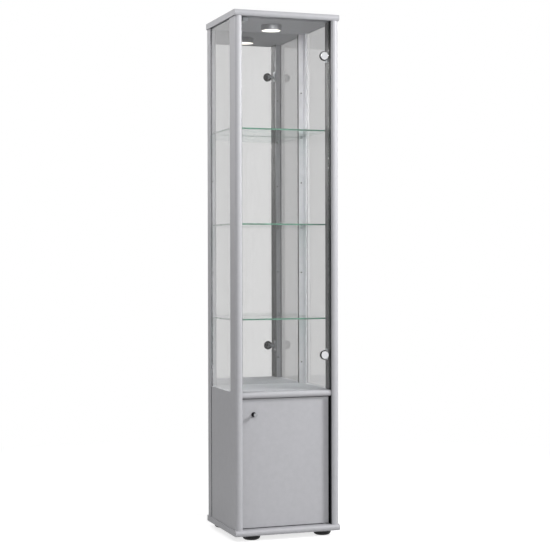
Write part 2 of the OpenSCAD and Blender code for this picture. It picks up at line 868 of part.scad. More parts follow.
module hinge_pin(z) {
    color(steel) on_glass_door() translate([axis_x, glass_axis_y, z - ear_z - ear_t])
        cylinder(h = 2 * (ear_z + ear_t), d = hinge_pin_d);
}

module upper_hinge_pin() { hinge_pin(upper_hinge_z); }
module lower_hinge_pin() { hinge_pin(lower_hinge_z); }

// The cranked arm: a plate on the stile, a leg behind the door's edge and an eye on the pin
module hinge_arm(z) {
    color(steel) difference() {
        union() {
            block([stile_in_x - arm_t, arm_y, z - plate_h / 2],
                  [stile_in_x, arm_y + plate_d, z + plate_h / 2]);
            block([axis_x - arm_t / 2, arm_y, z - arm_h / 2],
                  [stile_in_x, arm_y + arm_t, z + arm_h / 2]);
            block([axis_x - arm_t / 2, glass_axis_y, z - arm_h / 2],
                  [axis_x + arm_t / 2, arm_y + arm_t, z + arm_h / 2]);
            translate([axis_x, glass_axis_y, z - eye_h / 2]) cylinder(h = eye_h, r = eye_r);
        }
        translate([axis_x, glass_axis_y, z - eye_h])
            cylinder(h = 2 * eye_h, d = hinge_pin_d + 2 * run_play);
        for (k = [-1, 1]) translate([stile_in_x - arm_t - 1, plate_screw_y, z + k * plate_screw_z])
            bore_x(small_bore_d, arm_t + 2);
    }
}

module upper_hinge_arm() { hinge_arm(upper_hinge_z); }
module lower_hinge_arm() { hinge_arm(lower_hinge_z); }

module hinge_screws() {
    color(steel) for (z = [lower_hinge_z, upper_hinge_z]) for (k = [-1, 1])
        translate([stile_in_x - arm_t, plate_screw_y, z + k * plate_screw_z]) rotate([0, -90, 0])
            small_screw();
}

// The touch catch hangs under the top board, behind the free edge of the glass door
module touch_catch_screw_places() {
    side = (catch_barrel + catch_ear) / 2;
    for (x = [catch_x - side, catch_x + side])
        translate([x, catch_screw_y, ceiling_z - catch_ear_t]) rotate([180, 0, 0]) children();
}

module touch_catch_screw_bores() {
    touch_catch_screw_places() translate([0, 0, -small_screw_len - 1])
        cylinder(h = small_screw_len + 2, d = small_bore_d);
}

module touch_catch_body() {
    half = catch_barrel / 2;
    ear_x = half + catch_ear;
    ear_y = catch_ear_d / 2;
    color("#8E9094") difference() {
        union() {
            block([catch_x - half, catch_front_y, ceiling_z - catch_barrel],
                  [catch_x + half, catch_front_y + catch_len, ceiling_z]);
            block([catch_x - ear_x, catch_screw_y - ear_y, ceiling_z - catch_ear_t],
                  [catch_x + ear_x, catch_screw_y + ear_y, ceiling_z]);
        }
        translate([catch_x, catch_front_y - 1, catch_axis_z])
            bore_y(plunger_d + 2 * run_play, plunger_len + 1);
        touch_catch_screw_bores();
    }
}

module touch_catch_plunger() {
    color("#D9D9D9") translate([catch_x, plunger_front_y, catch_axis_z])
        bore_y(plunger_d, plunger_len);
}

module touch_catch_strike() {
    color(steel) on_glass_door()
        block([catch_x - strike_half_w, glass_back_y, catch_axis_z - strike_half_w],
              [catch_x + strike_half_w, glass_back_y + strike_t, glass_top_z - strike_margin]);
}

// The magnetic catch hangs under the middle board, behind the base door's free edge
module magnet_screw_places() {
    for (x = [magnet_ear / 2, magnet_len - magnet_ear / 2])
        translate([magnet_x + x, magnet_y + magnet_d / 2, mid_z - magnet_ear_t])
            rotate([180, 0, 0]) children();
}

module magnet_screw_bores() {
    magnet_screw_places() translate([0, 0, -small_screw_len - 1])
        cylinder(h = small_screw_len + 1, d = small_bore_d);
}

module magnet_catch_body() {
    color("#E8E8E6") difference() {
        block([magnet_x, magnet_y, mid_z - magnet_h],
              [magnet_x + magnet_len, magnet_y + magnet_d, mid_z]);
        for (x = [0, magnet_len - magnet_ear])
            block([magnet_x + x, magnet_y - 1, mid_z - magnet_h - 1],
                  [magnet_x + x + magnet_ear, magnet_y + magnet_d + 1, mid_z - magnet_ear_t]);
        magnet_screw_bores();
    }
}

module catch_screws() {
    color(steel) {
        touch_catch_screw_places() small_screw();
        magnet_screw_places() small_screw();
    }
}

// Turns the base door's pieces about its pivot pins
module on_base_door() {
    translate([axis_x, base_axis_y, 0]) rotate([0, 0, base_door_angle])
        translate([-axis_x, -base_axis_y, 0]) children();
}

module base_door_panel() {
    color(silver) on_base_door() difference() {
        block([-door_edge_x, base_door_y, base_door_bottom_z],
              [door_edge_x, base_door_back_y, base_door_top_z]);
        for (z = [base_door_bottom_z - 1, base_door_top_z - pivot_seat])
            translate([axis_x, base_axis_y, z]) cylinder(h = pivot_seat + 1, d = pivot_d);
        translate([knob_x, base_door_y - 1, knob_z])
            bore_y(knob_screw_d + 2 * run_play, base_door_t + 2);
    }
}

// A waisted knob: a foot on the door and a smaller head, with one hollow curve between them
module base_door_knob() {
    head_r = knob_head_d / 2;
    flare = (knob_d - knob_waist_d) / 2;
    rise = knob_waist_z - knob_foot_t;
    curve_r = (flare * flare + rise * rise) / (2 * flare);
    color(nickel) on_base_door() translate([knob_x, base_door_y, knob_z]) rotate([90, 0, 0])
        rotate_extrude() difference() {
            union() {
                square([knob_d / 2, knob_waist_z]);
                disc_section(head_r, knob_len, knob_edge);
            }
            translate([knob_waist_d / 2 + curve_r, knob_waist_z]) circle(r = curve_r);
            translate([-1, -1]) square([knob_screw_d / 2 + run_play + 1, knob_thread + 1]);
        }
}

module knob_screw() {
    color(steel) on_base_door() translate([knob_x, base_door_back_y, knob_z]) rotate([-90, 0, 0])
        pan_screw(knob_screw_d, screw_head_d, screw_head_h, base_door_t + knob_thread - end_play);
}

// A pivot pin with its collar, seated in the door and reaching down into the bush
module pivot_pin() {
    r = pivot_d / 2;
    collar_r = bush_flange_d / 2;
    collar_t = door_end_gap - bush_flange_t - 2 * run_play;
    end_z = end_play - door_end_gap - pivot_reach;
    rotate_extrude() polygon([
        [0, pivot_seat], [r, pivot_seat], [r, 0], [collar_r, 0], [collar_r, -collar_t],
        [r, -collar_t], [r, end_z], [0, end_z]
    ]);
}

module base_door_pivots() {
    color(steel) on_base_door() {
        translate([axis_x, base_axis_y, base_door_bottom_z]) pivot_pin();
        translate([axis_x, base_axis_y, base_door_top_z]) mirror([0, 0, 1]) pivot_pin();
    }
}

// A flanged bush with its flange on the board's face and its sleeve below it
module pivot_bush() {
    rotate_extrude() difference() {
        union() {
            translate([0, -pivot_reach]) square([bush_d / 2, pivot_reach]);
            square([bush_flange_d / 2, bush_flange_t]);
        }
        translate([-1, -pivot_reach - 1])
            square([pivot_d / 2 + run_play + 1, pivot_reach + bush_flange_t + 2]);
    }
}

module pivot_bushes() {
    color("#E8E8E6") {
        translate([axis_x, base_axis_y, floor_z]) pivot_bush();
        translate([axis_x, base_axis_y, mid_z]) mirror([0, 0, 1]) pivot_bush();
    }
}

module magnet_catch_strike() {
    color(steel) on_base_door()
        block([magnet_x, base_door_back_y, base_door_top_z - magnet_h + 2],
              [magnet_x + magnet_len, base_door_back_y + strike_t, base_door_top_z]);
}

top_board();
mid_board();
bottom_board();
front_left_stile();
front_right_stile();
back_left_post();
back_right_post();
left_glass_pane();
right_glass_pane();
back_mirror();
mirror_backing();
backing_screws();
base_left_panel();
base_right_panel();
base_back_panel();
wood_dowels();
top_glass_shelf();
middle_glass_shelf();
bottom_glass_shelf();
top_shelf_pins();
middle_shelf_pins();
bottom_shelf_pins();
lamp_base();
lamp_housing();
lamp_lens();
lamp_socket();
lamp_bulb();
lamp_screws();
lead_grommet();
front_left_foot();
front_right_foot();
back_left_foot();
back_right_foot();
foot_screws();
top_frame_screws();
bottom_frame_screws();
screw_caps();
glass_door_pane();
upper_hinge_cap();
lower_hinge_cap();
upper_hinge_cup();
lower_hinge_cup();
upper_hinge_pin();
lower_hinge_pin();
upper_hinge_arm();
lower_hinge_arm();
hinge_screws();
touch_catch_body();
touch_catch_plunger();
touch_catch_strike();
catch_screws();
base_door_panel();
base_door_knob();
knob_screw();
base_door_pivots();
pivot_bushes();
magnet_catch_body();
magnet_catch_strike();
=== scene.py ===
import json
from math import cos, radians, sin

import bmesh
import bpy
from mathutils import Matrix, Vector

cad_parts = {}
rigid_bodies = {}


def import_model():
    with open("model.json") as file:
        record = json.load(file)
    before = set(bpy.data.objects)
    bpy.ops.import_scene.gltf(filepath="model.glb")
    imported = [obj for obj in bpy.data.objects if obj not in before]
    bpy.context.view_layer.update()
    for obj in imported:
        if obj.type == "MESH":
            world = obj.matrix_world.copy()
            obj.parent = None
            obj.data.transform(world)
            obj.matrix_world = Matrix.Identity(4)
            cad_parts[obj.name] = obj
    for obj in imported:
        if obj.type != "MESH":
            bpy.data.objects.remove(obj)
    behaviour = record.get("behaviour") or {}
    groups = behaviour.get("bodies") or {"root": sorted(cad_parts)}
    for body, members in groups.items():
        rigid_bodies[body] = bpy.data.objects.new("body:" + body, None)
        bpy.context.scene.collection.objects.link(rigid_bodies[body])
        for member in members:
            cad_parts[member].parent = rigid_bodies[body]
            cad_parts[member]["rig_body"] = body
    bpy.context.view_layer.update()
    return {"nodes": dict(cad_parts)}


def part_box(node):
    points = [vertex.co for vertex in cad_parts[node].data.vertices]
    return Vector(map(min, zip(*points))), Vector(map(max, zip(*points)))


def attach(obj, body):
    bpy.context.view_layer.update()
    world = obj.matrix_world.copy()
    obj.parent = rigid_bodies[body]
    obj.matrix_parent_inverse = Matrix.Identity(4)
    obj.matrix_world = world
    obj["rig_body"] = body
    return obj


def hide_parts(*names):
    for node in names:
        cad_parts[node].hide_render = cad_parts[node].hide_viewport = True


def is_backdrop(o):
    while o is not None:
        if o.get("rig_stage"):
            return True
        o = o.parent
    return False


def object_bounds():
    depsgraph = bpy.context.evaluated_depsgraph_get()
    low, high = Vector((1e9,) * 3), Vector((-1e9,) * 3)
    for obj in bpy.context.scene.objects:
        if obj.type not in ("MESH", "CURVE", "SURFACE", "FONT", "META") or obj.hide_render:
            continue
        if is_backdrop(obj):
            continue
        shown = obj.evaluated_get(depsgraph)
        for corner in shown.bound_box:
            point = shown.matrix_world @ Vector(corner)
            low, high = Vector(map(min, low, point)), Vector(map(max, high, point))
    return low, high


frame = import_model()
MM = 0.001


# ---------------------------------------------------------------- top, middle and bottom board
# Three 20 mm chipboards wrapped in silver foil, with a rounded nose on the front edge. Screws
# hold the top and bottom boards to the stiles and posts; dowels hold the middle one between
# the sides of the base, where it is the deck under the glass part.

EASED = 0.5 * MM        # radius that wear and lacquer give to a foil-wrapped edge
EASED_STEPS = 3         # flats across such an edge
WELD = 0.001 * MM       # corners nearer than this are one corner
FLAT = radians(1)       # faces that meet at less than this angle are one flat face
CREASE = radians(32)    # faces that meet at more than this angle meet in a real edge
SQUARE = 0.99           # how far along an axis a face's normal points when the face is square to it
FOIL_CLOUD = 16 * MM    # real mica flakes are 0.05 mm; drawn this coarse so that they show
FOIL_PEEL = 2.5 * MM    # the lacquer's slight orange peel
CLOUD_START, CLOUD_END = 0.3, 0.7    # the part of a noise in which the colour changes


def linear(colour):
    """A six-figure sRGB hex colour as linear red, green, blue and alpha."""
    parts = [int(colour[i:i + 2], 16) / 255 for i in (1, 3, 5)]
    return [p / 12.92 if p <= 0.04045 else ((p + 0.055) / 1.055) ** 2.4 for p in parts] + [1.0]


def add_node(tree, kind, settings=None, **inputs):
    """Adds a node. Its inputs are set or linked by name, with _ for a space, or by number, as _0."""
    made = tree.nodes.new(kind)
    for key, value in (settings or {}).items():
        setattr(made, key, value)
    for key, value in inputs.items():
        number = key[1:]
        socket = made.inputs[int(number) if number.isdigit() else key.replace("_", " ")]
        if isinstance(value, bpy.types.NodeSocket):
            tree.links.new(value, socket)
        else:
            socket.default_value = value
    return made


def new_material(name, **inputs):
    """A material with one Principled shader: the material, its tree and the shader."""
    made = bpy.data.materials.new(name)
    made.use_nodes = True
    made.node_tree.nodes.clear()
    shader = add_node(made.node_tree, "ShaderNodeBsdfPrincipled", **inputs)
    add_node(made.node_tree, "ShaderNodeOutputMaterial", Surface=shader.outputs[0])
    return made, made.node_tree, shader


def clouded(tree, shader, low, high, size, detail=3.0):
    """Colours the shader between two hex colours, with a soft noise of the given size."""
    place = add_node(tree, "ShaderNodeTexCoord").outputs["Object"]
    noise = add_node(tree, "ShaderNodeTexNoise", Vector=place, Scale=1 / size, Detail=detail)
    ramp = add_node(tree, "ShaderNodeValToRGB", Fac=noise.outputs["Fac"])
    first, last = ramp.color_ramp.elements
    first.position, first.color = CLOUD_START, linear(low)
    last.position, last.color = CLOUD_END, linear(high)
    tree.links.new(ramp.outputs["Color"], shader.inputs["Base Color"])
    return place


def grained(tree, shader, place, size, height, smooth, rough):
    """Gives the shader a fine bump of the given size and height, and a roughness that follows it."""
    fine = add_node(tree, "ShaderNodeTexNoise", Vector=place, Scale=1 / size, Detail=2.0)
    bump = add_node(tree, "ShaderNodeBump", Height=fine.outputs["Fac"], Distance=height, Strength=1.0)
    tree.links.new(bump.outputs["Normal"], shader.inputs["Normal"])
    sheen = add_node(tree, "ShaderNodeMapRange", Value=fine.outputs["Fac"], To_Min=smooth, To_Max=rough)
    tree.links.new(sheen.outputs["Result"], shader.inputs["Roughness"])


def merged_copy(name):
    """A bmesh of a CAD piece with its loose triangles merged and its flat faces made whole."""
    shape = bmesh.new()
    shape.from_mesh(frame["nodes"][name].data)
    bmesh.ops.remove_doubles(shape, verts=shape.verts, dist=WELD)
    bmesh.ops.dissolve_limit(shape, angle_limit=FLAT, use_dissolve_boundaries=False,
                             verts=shape.verts, edges=shape.edges)
    return shape


def finish_piece(shape, name, node, materials, eased=0.0):
    """Makes an object of a bmesh. It stands for a CAD piece, and rides where that piece rides."""
    mesh = bpy.data.meshes.new(name)
    shape.to_mesh(mesh)
    shape.free()
    for material in materials:
        mesh.materials.append(material)
    piece = bpy.data.objects.new(name, mesh)
    bpy.context.scene.collection.objects.link(piece)
    mesh.shade_smooth()
    mesh.set_sharp_from_angle(angle=CREASE)
    if eased:
        bevel = piece.modifiers.new("eased edges", "BEVEL")
        bevel.width = eased
        bevel.segments = EASED_STEPS
        bevel.limit_method = "ANGLE"
        bevel.angle_limit = CREASE
        bevel.harden_normals = True
    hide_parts(node)
    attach(piece, frame["nodes"][node]["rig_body"])


# Paper foil, printed with mica silver and lacquered: a pale grey with a soft sheen and a faint
# cloudiness, not a metal.
silver_foil, tree, shader = new_material("silver foil on board", Metallic=0.05,
                                         Specular_IOR_Level=0.25)
place = clouded(tree, shader, "#B2B2B6", "#B6B6BA", FOIL_CLOUD)
grained(tree, shader, place, FOIL_PEEL, 0.005 * MM, 0.40, 0.48)

# The same foil under a matt lacquer, without a sheen, and a shade darker as painted shade. The
# deck, the ceiling and the left post's inner faces have it, where it paints the shade they lie in.
matt_shaded_foil, tree, shader = new_material("matt silver foil, darker as painted shade", Metallic=0.05,
                                       Specular_IOR_Level=0.03)
place = clouded(tree, shader, "#949498", "#9B9B9F", FOIL_CLOUD)
grained(tree, shader, place, FOIL_PEEL, 0.005 * MM, 0.62, 0.72)

finish_piece(merged_copy("bottom_board"), "bottom_board_foiled", "bottom_board", [silver_foil], EASED)
# The deck faces up and the ceiling faces down; both take the darker matt foil as painted shade.
for node, up in (("mid_board", 1), ("top_board", -1)):
    shape = merged_copy(node)
    for face in shape.faces:
        face.material_index = 1 if face.normal.z * up > SQUARE else 0
    finish_piece(shape, node + "_foiled", node, [silver_foil, matt_shaded_foil], EASED)


# ---------------------------------------------------------------- front stiles and back posts
# Fibreboard uprights wrapped in foil: flat stiles with a rounded nose, and posts with an L
# section. They are sawn with grooves for the side panes and the mirror, and drilled with a row
# of holes for the shelf pins.

PAINTED_SHADE_STRIP = 2 * MM                   # width of the black strip of painted shade down a post's rim, beside the mirror
DRILLED_AREA = 150 * MM * MM    # only the walls of drilled holes are smaller than this
PANE_PLAY = 1.2 * MM            # the walls of a groove lie this near to the pane in it
MIRROR_PLAY = 2 * MM            # and this near to the mirror

# A smoother foil on the right post's inner faces, made brighter as painted light, and with a
# metal shine like the mirror beside it as a painted reflection.
painted_light_foil, tree, shader = new_material("silver foil with painted light, on posts", Metallic=0.45)
place = clouded(tree, shader, "#C6C6C9", "#CBCBCE", FOIL_CLOUD)
grained(tree, shader, place, FOIL_PEEL, 0.005 * MM, 0.26, 0.34)

# Black with a satin lacquer, even and almost without texture, that paints deep shade. It covers
# the inner side of each stile, where the doors shut, the strip beside the mirror on each post and the
# shadow grooves of the base sides.
painted_shade_black, tree, shader = new_material("black satin, painted shade", Specular_IOR_Level=0.15)
place = clouded(tree, shader, "#121315", "#1A1B1E", FOIL_CLOUD)
grained(tree, shader, place, FOIL_PEEL, 0.001 * MM, 0.36, 0.42)

# Bare fibreboard in sawn grooves and drilled holes: brown, darkened well below its own colour
# as painted shade in these recesses, with torn fibres about 1 mm long that leave it rough and without
# shine.
raw_fibreboard_shaded, tree, shader = new_material("sawn fibreboard, darkened as painted shade", Specular_IOR_Level=0.1)
place = clouded(tree, shader, "#281E14", "#38291C", 2 * MM, 6.0)
grained(tree, shader, place, 0.8 * MM, 0.1 * MM, 0.8, 0.95)


def is_sawn(face, seats):
    """True for a wall of a drilled hole, or of a groove that holds one of the given CAD pieces."""
    middle = face.calc_center_median()
    for node, play in seats.items():
        low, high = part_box(node)
        if all(low[i] - play < middle[i] < high[i] + play for i in range(3)):
            return True
    return face.calc_area() < DRILLED_AREA


def cut_across(shape, point, normal):
    """Cuts every face of a bmesh along a plane, and keeps both sides."""
    bmesh.ops.bisect_plane(shape, geom=shape.verts[:] + shape.edges[:] + shape.faces[:],
                           plane_co=point, plane_no=normal)


# The left post's front and inner faces take the darker matt foil as painted shade, the right post's the
# brighter foil as painted light.
for side, inward, foil in (("left", 1, matt_shaded_foil), ("right", -1, painted_light_foil)):
    post, stile, pane = "back_" + side + "_post", "front_" + side + "_stile", side + "_glass_pane"
    shape = merged_copy(post)
    low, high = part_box(post)
    shade_strip_end = (high[0] if inward > 0 else low[0]) - inward * PAINTED_SHADE_STRIP
    cut_across(shape, (shade_strip_end, 0, 0), (1, 0, 0))
    for face in shape.faces:
        # A black strip along the rim beside the mirror paints the shade of the gap there.
        front = face.normal.y < -SQUARE
        if front and abs(face.calc_center_median().x) < abs(shade_strip_end):
            face.material_index = 3
        elif is_sawn(face, {pane: PANE_PLAY, "back_mirror": MIRROR_PLAY}):
            face.material_index = 2
        else:
            face.material_index = 1 if front or face.normal.x * inward > SQUARE else 0
    finish_piece(shape, post + "_foiled", post, [silver_foil, foil, raw_fibreboard_shaded, painted_shade_black], EASED)

    shape = merged_copy(stile)
    # The stile's inner side is black as painted shade, where the doors shut and the shade is deep.
    for face in shape.faces:
        if is_sawn(face, {pane: PANE_PLAY}):
            face.material_index = 2
        else:
            face.material_index = 1 if face.normal.x * inward > SQUARE else 0
    finish_piece(shape, stile + "_foiled", stile, [silver_foil, painted_shade_black, raw_fibreboard_shaded], EASED)


# ---------------------------------------------------------------- base panels and their dowels
# Two 16 mm chipboard sides, foiled, and joined to the stiles, the posts and the middle board
# with beech dowels, and a thin back panel in the posts' grooves. A shadow groove down the rear
# edge of each side parts it from its post; its black lining is painted shade.

SHADOW_WIDTH, SHADOW_DEPTH = 6 * MM, 1.5 * MM
SHADOW_RIM = 0.5 * MM           # how far the groove stays inside the panel's edges
WALL_SLOPE = 0.02 * MM          # a sunk wall leans in by this much

finish_piece(merged_copy("base_back_panel"), "base_back_panel_foiled", "base_back_panel",
             [silver_foil], EASED)

for node, outer in (("base_left_panel", 0), ("base_right_panel", 1)):
    shape = merged_copy(node)
    low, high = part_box(node)
    rear = high[1] - SHADOW_RIM
    cut_across(shape, (0, rear, 0), (0, 1, 0))
    cut_across(shape, (0, rear - SHADOW_WIDTH, 0), (0, 1, 0))
    cut_across(shape, (0, 0, low[2] + SHADOW_RIM), (0, 0, 1))
    cut_across(shape, (0, 0, high[2] - SHADOW_RIM), (0, 0, 1))
    middle = Vector(((low[0], high[0])[outer], rear - SHADOW_WIDTH / 2, (low[2] + high[2]) / 2))
    strip = [face for face in shape.faces if (face.calc_center_median() - middle).length < MM]
    walls = bmesh.ops.inset_region(shape, faces=strip, thickness=WALL_SLOPE, depth=-SHADOW_DEPTH)["faces"]
    # The groove's floor and walls are lined in black as painted shade.
    for face in strip + walls:
        face.material_index = 1
    finish_piece(shape, node + "_foiled", node, [silver_foil, painted_shade_black])


def finish_cad(material, *nodes):
    """Gives CAD pieces, whose shapes are complete, the finish of the real ones."""
    for node in nodes:
        frame["nodes"][node].material_slots[0].material = material


# Raw beech, turned: a light, warm wood with pores 0.5 mm apart and no shine.
beech, tree, shader = new_material("raw beech", Roughness=0.6)
place = clouded(tree, shader, "#C2A172", "#D3B587", 2 * MM, 6.0)
grained(tree, shader, place, 0.5 * MM, 0.03 * MM, 0.55, 0.7)
finish_cad(beech, "wood_dowels")


# ---------------------------------------------------------------- frame screws and their caps
# Zinc-plated steel screws run through the top and bottom boards into every stile and post.
# Each head has a pressed cross recess, and moulded grey caps close the holes in the top.

RECESS_LENGTH, RECESS_WIDTH, RECESS_DEPTH = 0.62, 0.2, 0.25    # shares of the flat's diameter
ROUND_CORNERS = 10              # a round flat face has more corners than this
ROUND_SPREAD = 0.05 * MM        # and its corners are equally far from its centre, to within this
HEAD_RADIUS = 2 * MM            # the flat of a head has more than this radius, and a tip less

# Steel, zinc-plated in a barrel: a cool grey, with a shine that is patchy over a millimetre or
# two where the pieces tumbled on each other.
zinc, tree, shader = new_material("zinc plated steel", Metallic=1.0)
place = clouded(tree, shader, "#8F9296", "#A9ACB0", 2 * MM)
grained(tree, shader, place, 0.8 * MM, 0.01 * MM, 0.25, 0.45)


def is_head(face):
    """True for the round flat on top of a screw head."""
    middle = face.calc_center_median()
    reaches = [(corner.co - middle).length for corner in face.verts]
    even = max(reaches) - min(reaches) < ROUND_SPREAD
    return len(reaches) > ROUND_CORNERS and even and min(reaches) > HEAD_RADIUS


def sink_cross(shape, head):
    """Sinks a cross into the round flat face of a screw head."""
    centre = head.calc_center_median()
    radius = (head.verts[0].co - centre).length
    first = head.normal.orthogonal().normalized()
    second = head.normal.cross(first)
    cells = [head] + head.edges[:] + head.verts[:]
    for across in (first, second):
        for share in (-RECESS_LENGTH, -RECESS_WIDTH, RECESS_WIDTH, RECESS_LENGTH):
            cells = bmesh.ops.bisect_plane(shape, geom=cells, plane_co=centre + across * share * radius,
                                           plane_no=across)["geom"]
    cross = []
    for cell in cells:
        if isinstance(cell, bmesh.types.BMFace):
            offset = cell.calc_center_median() - centre
            near, far = sorted((abs(offset.dot(first)), abs(offset.dot(second))))
            if near < RECESS_WIDTH * radius and far < RECESS_LENGTH * radius:
                cross.append(cell)
    bmesh.ops.inset_region(shape, faces=cross, thickness=WALL_SLOPE, depth=-RECESS_DEPTH * 2 * radius)


def finish_screws(*nodes):
    """Makes the screws of each CAD piece again, with a cross recess in every head."""
    for node in nodes:
        shape = merged_copy(node)
        for head in [face for face in shape.faces if is_head(face)]:
            sink_cross(shape, head)
        finish_piece(shape, node + "_recessed", node, [zinc])


finish_screws("top_frame_screws", "bottom_frame_screws")

# Acetal moulded in grey: even in colour, with a satin shine. The mould's grain is about
# 0.1 mm; drawn 1 mm so that it shows.
grey_plastic, tree, shader = new_material("grey moulded acetal", Specular_IOR_Level=0.5)
place = clouded(tree, shader, "#84868A", "#919397", 4 * MM)
grained(tree, shader, place, 1 * MM, 0.02 * MM, 0.3, 0.4)
finish_cad(grey_plastic, "screw_caps")


# ---------------------------------------------------------------- feet
# Four round feet, moulded in black polyamide with a bowed side. One screw from below holds
# each of them to the bottom board.

# Polyamide moulded in black: deep in colour, and dulled by a spark-eroded grain. The grain is
# about 0.1 mm; drawn 0.7 mm so that it shows.
black_plastic, tree, shader = new_material("black moulded polyamide", Specular_IOR_Level=0.25)
place = clouded(tree, shader, "#0E0E10", "#18181B", 4 * MM)
grained(tree, shader, place, 0.7 * MM, 0.03 * MM, 0.38, 0.55)

finish_cad(black_plastic, "front_left_foot", "front_right_foot", "back_left_foot", "back_right_foot")
finish_screws("foot_screws")


# ---------------------------------------------------------------- mirror and its backing
# A 4 mm silvered mirror stands in the grooves of the back posts and shows the inside twice. A
# sheet of brown hardboard, screwed to the posts from behind, keeps its painted back from harm.

ARRIS = 0.6 * MM                # the ground chamfer along every edge of a sheet of glass
EDGE_CLOUD = 14 * MM            # how fast the green of an edge varies along it
BACKING_EASED = 0.3 * MM        # a sawn edge of hardboard, worn a little round

# Silver behind polished glass: a mirror close to perfect, a little grey.
mirror_silver, tree, shader = new_material("silvered mirror", Metallic=1.0, Roughness=0.015)
clouded(tree, shader, "#DCDCDC", "#DEDEDE", 400 * MM, 1.0)

# The ground and polished edge of float glass: a dark green, from the iron in the glass.
pane_edge, tree, shader = new_material("polished edge of a pane", Roughness=0.12, IOR=1.5,
                                       Specular_IOR_Level=0.35)
clouded(tree, shader, "#1E332B", "#31503F", EDGE_CLOUD)

# Wood fibres pressed to a sheet: brown, speckled by bundles of 1 to 3 mm, and without shine.
hardboard, tree, shader = new_material("brown hardboard", Roughness=0.75)
place = clouded(tree, shader, "#6E4F35", "#8A6849", 3 * MM, 6.0)
grained(tree, shader, place, 1.2 * MM, 0.08 * MM, 0.68, 0.85)


def glass_sheet(node, thin_axis, face_material, edge_material):
    """A sheet from its CAD piece, with chamfered edges and its own material on the edges."""
    shape = merged_copy(node)
    for face in shape.faces:
        face.material_index = 0 if abs(face.normal[thin_axis]) > SQUARE else 1
    finish_piece(shape, node + "_sheet", node, [face_material, edge_material], ARRIS)


glass_sheet("back_mirror", 1, mirror_silver, pane_edge)
finish_piece(merged_copy("mirror_backing"), "mirror_backing_sheet", "mirror_backing",
             [hardboard], BACKING_EASED)
finish_screws("backing_screws")


# ---------------------------------------------------------------- side panes
# Two 4 mm sheets of float glass, ground along their edges. They stand in grooves of the base
# panels, the stiles, the posts and the top board, and are tinted smoky grey, the right one darker, as
# painted shade.

# painted shade: both side panes are tinted grey, the right one darker than the left
LEFT_SHADE_TINT, RIGHT_SHADE_TINT = "#DCDCDC", "#C6C6C6"


def clear_glass(name, tint):
    """Polished, almost colourless glass. It passes light that comes straight from a lamp."""
    made, tree, shader = new_material(name, Base_Color=linear(tint), Roughness=0.0, IOR=1.5,
                                      Transmission_Weight=1.0)
    lamp_ray = add_node(tree, "ShaderNodeLightPath").outputs["Is Shadow Ray"]
    passed = add_node(tree, "ShaderNodeBsdfTransparent", Color=linear(tint))
    both = add_node(tree, "ShaderNodeMixShader", _0=lamp_ray, _1=shader.outputs[0], _2=passed.outputs[0])
    out = next(node for node in tree.nodes if node.type == "OUTPUT_MATERIAL")
    tree.links.new(both.outputs[0], out.inputs["Surface"])
    return made


glass_sheet("left_glass_pane", 0, clear_glass("float glass of the left side", LEFT_SHADE_TINT), pane_edge)
glass_sheet("right_glass_pane", 0, clear_glass("float glass of the right side", RIGHT_SHADE_TINT), pane_edge)


# ---------------------------------------------------------------- glass shelves and their pins
# Three 5 mm sheets of float glass with polished edges. Each lies on four turned and plated
# pins, pushed into the holes of the stiles and posts.

SHELF_TINT = "#E9F6F1"          # seen from low down, the shelves look green
PAINTED_EDGE_GLOW = 0.07                 # strength of the painted glow on a shelf's edge, for the spot's light that leaves the sheet there

shelf_glass = clear_glass("float glass of the shelves", SHELF_TINT)

# The polished edge of a shelf: a brighter green, and a painted glow for the spot's light in the sheet.
shelf_edge_painted_glow, tree, shader = new_material("polished edge of a shelf, painted glow", Roughness=0.12, IOR=1.5,
                                        Specular_IOR_Level=0.35,
                                        Emission_Color=linear("#4E9478"), Emission_Strength=PAINTED_EDGE_GLOW)
clouded(tree, shader, "#264A3B", "#3F6A58", EDGE_CLOUD)

# Nickel plate over turned steel: a plain grey metal with a soft shine. Its turning marks are
# 0.1 mm apart; drawn 1.5 mm so that they show.
nickel, tree, shader = new_material("satin nickel plate", Metallic=1.0)
place = clouded(tree, shader, "#96979A", "#A6A7AA", 3 * MM)
grained(tree, shader, place, 1.5 * MM, 0.006 * MM, 0.26, 0.36)

for node in ("bottom_glass_shelf", "middle_glass_shelf", "top_glass_shelf"):
    glass_sheet(node, 2, shelf_glass, shelf_edge_painted_glow)
finish_cad(nickel, "top_shelf_pins", "middle_shelf_pins", "bottom_shelf_pins")


# ---------------------------------------------------------------- ceiling spot
# A round spot screwed under the top board: a ceramic plate and socket, a small bulb, a turned
# and plated housing, and a frosted lens, which is lit. Its lead would leave by the grommet.

LENS_GLOW = 1.6                 # a little over white, so that the lens reads as lit

# Glazed ceramic: an off-white with a wet shine, and faint ripples 2 mm apart in the glaze.
ceramic, tree, shader = new_material("glazed white ceramic", Specular_IOR_Level=0.5)
place = clouded(tree, shader, "#E6E4DE", "#F0EEE9", 6 * MM)
grained(tree, shader, place, 2 * MM, 0.01 * MM, 0.12, 0.2)

# Sand-blasted glass with a lit bulb behind it: an even glow of warm white.
lens_glow, tree, shader = new_material("frosted lens, lit", Roughness=0.35, IOR=1.5,
                                       Emission_Color=linear("#FFF9EC"), Emission_Strength=LENS_GLOW)
clouded(tree, shader, "#F4F1E6", "#FBF9F2", 20 * MM)

finish_cad(ceramic, "lamp_base", "lamp_socket")
finish_cad(clear_glass("bulb glass", "#F4F2EA"), "lamp_bulb")
finish_cad(nickel, "lamp_housing")
finish_cad(lens_glow, "lamp_lens")
finish_cad(black_plastic, "lead_grommet")    # rubber, as dull and black as the moulded feet
finish_screws("lamp_screws")


# ---------------------------------------------------------------- glass door and its hinges
# A 4 mm pane of float glass without a frame, drilled for two hinges. Each has a chrome disc in
# a black ring in front of the glass, a moulded black cup behind it, and a bent steel arm from
# the right stile to the pin.

